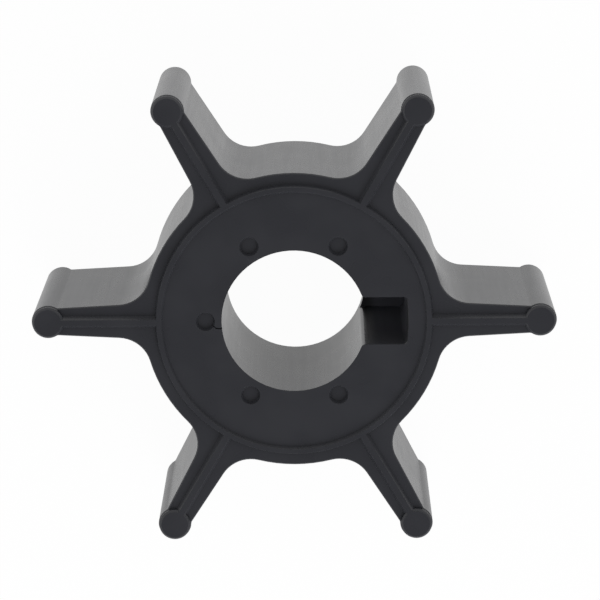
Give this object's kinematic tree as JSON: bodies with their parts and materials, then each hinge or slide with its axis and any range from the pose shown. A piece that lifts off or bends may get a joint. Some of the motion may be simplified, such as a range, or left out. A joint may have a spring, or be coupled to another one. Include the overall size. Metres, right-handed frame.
{
  "type": "pump impeller",
  "caption": "Flexible rubber impeller for a water pump: a hub with a keyed bore, straight radial vanes with a bulb along each outer edge, and raised sealing lips on both faces.",
  "frame": {"origin": "on the bore's axis, at the flat tops of the back lips, which the part lies on", "axes": "+Z along the bore's axis, from the back face to the front face with the round marks; +X from the axis to the keyway"},
  "size_m": [0.0508, 0.0444, 0.0169],
  "materials": {
    "moulded_rubber": "satin moulded"
  },
  "bodies": {
    "root": {"impeller": "moulded_rubber"}
  },
  "joints": []
}
